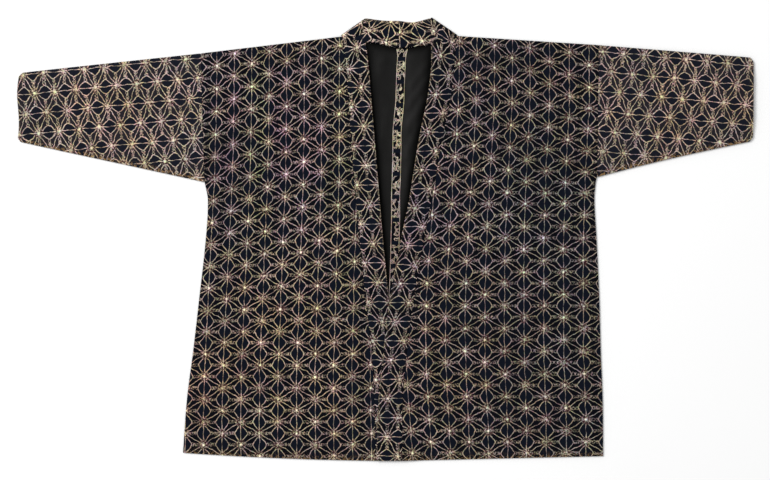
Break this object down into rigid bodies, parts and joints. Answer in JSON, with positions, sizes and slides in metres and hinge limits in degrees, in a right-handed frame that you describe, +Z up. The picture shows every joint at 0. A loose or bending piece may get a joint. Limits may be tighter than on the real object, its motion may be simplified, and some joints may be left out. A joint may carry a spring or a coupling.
{
  "type": "jacket",
  "caption": "Lined open-front jacket in short kimono-coat cut with a neckband and straight sleeves, laid flat on its back with the front up.",
  "frame": {"origin": "centre of the jacket's outline on the surface that it lies on", "axes": "+X along the spread sleeves towards the wearer's left cuff, +Y from hem to collar, +Z up out of the cloth"},
  "size_m": [1.3319, 0.8027, 0.0087],
  "materials": {
    "body_cotton": "blue-black cotton with a fine cream hemp-leaf lattice and space-dyed tints",
    "sleeve_cotton": "the same cotton, lighter and warmer, with the lattice turned a quarter",
    "band_cotton": "the same cotton folded double as a neckband",
    "strip_cotton": "narrow strip of the same cotton with pale edges and dark bars",
    "black_lining": "plain black cotton lining, matt"
  },
  "bodies": {
    "root": {"back_right_panel": "body_cotton", "back_left_panel": "body_cotton", "back_lining": "black_lining", "centre_back_strip": "strip_cotton", "front_right_panel": "body_cotton", "front_left_panel": "body_cotton", "neckband_right": "band_cotton", "neckband_left": "band_cotton", "sleeve_right": "sleeve_cotton", "sleeve_left": "sleeve_cotton"}
  },
  "joints": []
}
